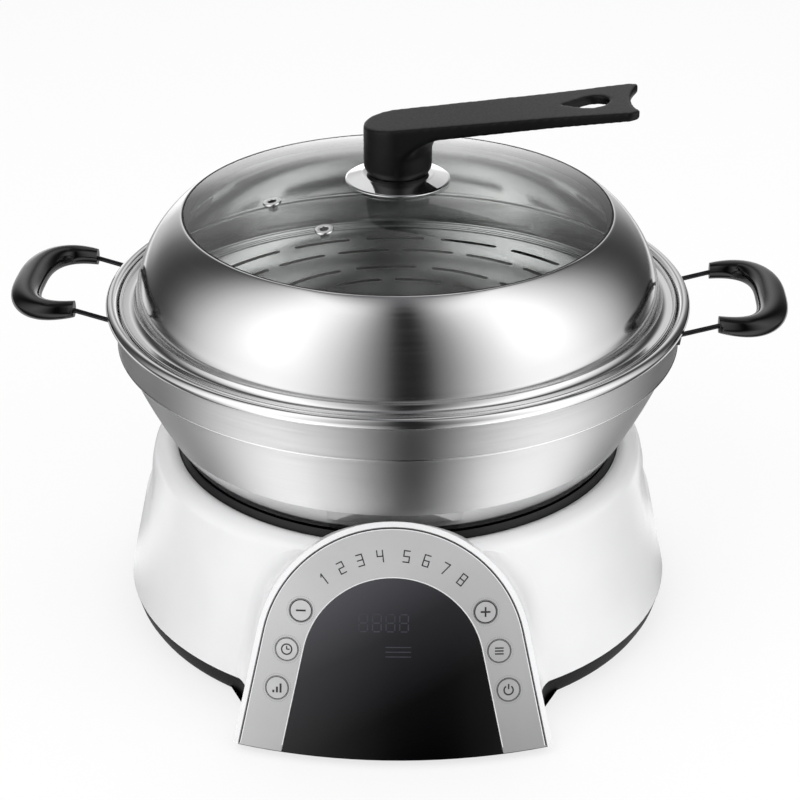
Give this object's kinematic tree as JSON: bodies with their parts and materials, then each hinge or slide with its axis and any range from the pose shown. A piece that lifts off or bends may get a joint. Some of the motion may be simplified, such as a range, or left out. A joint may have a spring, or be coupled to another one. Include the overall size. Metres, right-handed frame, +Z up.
{
  "type": "electric hot pot",
  "caption": "Electric hot pot: a stainless pot with side handles, a slotted steamer tray and a domed glass lid with a flat arm handle, on a white heating base with a sloping control panel.",
  "frame": {"origin": "on the table plane below the pot's vertical axis", "axes": "+Z up along the pot's axis, -Y towards the user and the control panel, +X to the user's right"},
  "size_m": [0.452, 0.3692, 0.3187],
  "materials": {
    "white_plastic": "satin gloss",
    "black_plastic": "fine moulded grain",
    "heatproof_plastic": "satin",
    "grey_plastic": "matt",
    "silver_panel": "metallic lacquer",
    "key_silver": "metallic lacquer",
    "black_gloss": "polished",
    "circuit_board": "lacquered",
    "rubber": "matt",
    "screw_steel": "zinc plated",
    "pan_steel": "pressed",
    "cast_aluminium": "turned",
    "disc_aluminium": "turned",
    "sensor_aluminium": "satin",
    "heater_sheath": "oxidised",
    "spring_steel": "bright",
    "pin_brass": "nickel plated",
    "stainless_steel": "mirror polished",
    "tray_steel": "polished",
    "lid_steel": "mirror polished",
    "eyelet_steel": "polished",
    "wire_steel": "drawn",
    "chrome": "polished",
    "bakelite": "satin",
    "silicone_black": "matt",
    "silicone_grey": "matt",
    "lid_glass": "clear"
  },
  "bodies": {
    "base": {"base_housing": "white_plastic", "bottom_cover": "black_plastic", "rubber_feet": "rubber", "cover_screws": "screw_steel", "control_panel": "silver_panel", "display_window": "black_gloss", "display_module": "grey_plastic", "control_board": "circuit_board", "board_screws": "screw_steel", "support_ring": "heatproof_plastic", "inner_pan": "pan_steel", "pan_screws": "screw_steel", "heating_plate": "cast_aluminium", "heating_element": "heater_sheath", "plate_screws": "screw_steel", "sensor_holder": "pan_steel", "sensor_spring": "spring_steel", "power_board": "circuit_board", "power_inlet": "black_plastic", "inlet_pins": "pin_brass"},
    "pot": {"pot_shell": "stainless_steel", "pot_base_disc": "disc_aluminium", "left_lugs": "bakelite", "left_wires": "wire_steel", "left_grip": "bakelite", "right_lugs": "bakelite", "right_wires": "wire_steel", "right_grip": "bakelite"},
    "tray": {"steamer_tray": "tray_steel"},
    "lid": {"lid_shell": "lid_steel", "glass_seal": "silicone_black", "lid_glass": "lid_glass", "vent_eyelets": "eyelet_steel", "handle_seat": "chrome", "handle_gaskets": "silicone_grey", "handle_washer": "eyelet_steel", "handle_screw": "screw_steel", "lid_handle": "bakelite"},
    "sensor": {"temperature_sensor": "sensor_aluminium"},
    "key_minus_body": {"key_minus": "key_silver"},
    "key_time_body": {"key_time": "key_silver"},
    "key_level_body": {"key_level": "key_silver"},
    "key_plus_body": {"key_plus": "key_silver"},
    "key_menu_body": {"key_menu": "key_silver"},
    "key_power_body": {"key_power": "key_silver"}
  },
  "joints": [
    {"name": "pot_lift", "type": "slide", "parent": "base", "child": "pot", "axis": [0, 0, 1], "range_m": [0, 0.2]},
    {"name": "tray_lift", "type": "slide", "parent": "pot", "child": "tray", "axis": [0, 0, 1], "range_m": [0, 0.15]},
    {"name": "lid_lift", "type": "slide", "parent": "tray", "child": "lid", "axis": [0, 0, 1], "range_m": [0, 0.15]},
    {"name": "sensor_rise", "type": "slide", "parent": "base", "child": "sensor", "axis": [0, 0, 1], "range_m": [0, 0.003], "deforming": ["sensor_spring"]},
    {"name": "key_minus_press", "type": "slide", "parent": "base", "child": "key_minus_body", "axis": [0, 0.9092, -0.4163], "range_m": [0, 0.0005], "stiffness_N_per_m": 800},
    {"name": "key_time_press", "type": "slide", "parent": "base", "child": "key_time_body", "axis": [0, 0.9092, -0.4163], "range_m": [0, 0.0005], "stiffness_N_per_m": 800},
    {"name": "key_level_press", "type": "slide", "parent": "base", "child": "key_level_body", "axis": [0, 0.9092, -0.4163], "range_m": [0, 0.0005], "stiffness_N_per_m": 800},
    {"name": "key_plus_press", "type": "slide", "parent": "base", "child": "key_plus_body", "axis": [0, 0.9092, -0.4163], "range_m": [0, 0.0005], "stiffness_N_per_m": 800},
    {"name": "key_menu_press", "type": "slide", "parent": "base", "child": "key_menu_body", "axis": [0, 0.9092, -0.4163], "range_m": [0, 0.0005], "stiffness_N_per_m": 800},
    {"name": "key_power_press", "type": "slide", "parent": "base", "child": "key_power_body", "axis": [0, 0.9092, -0.4163], "range_m": [0, 0.0005], "stiffness_N_per_m": 800}
  ],
  "couplings": [
    {"joint": "sensor_rise", "follows": "pot_lift", "ratio": 0.015}
  ]
}
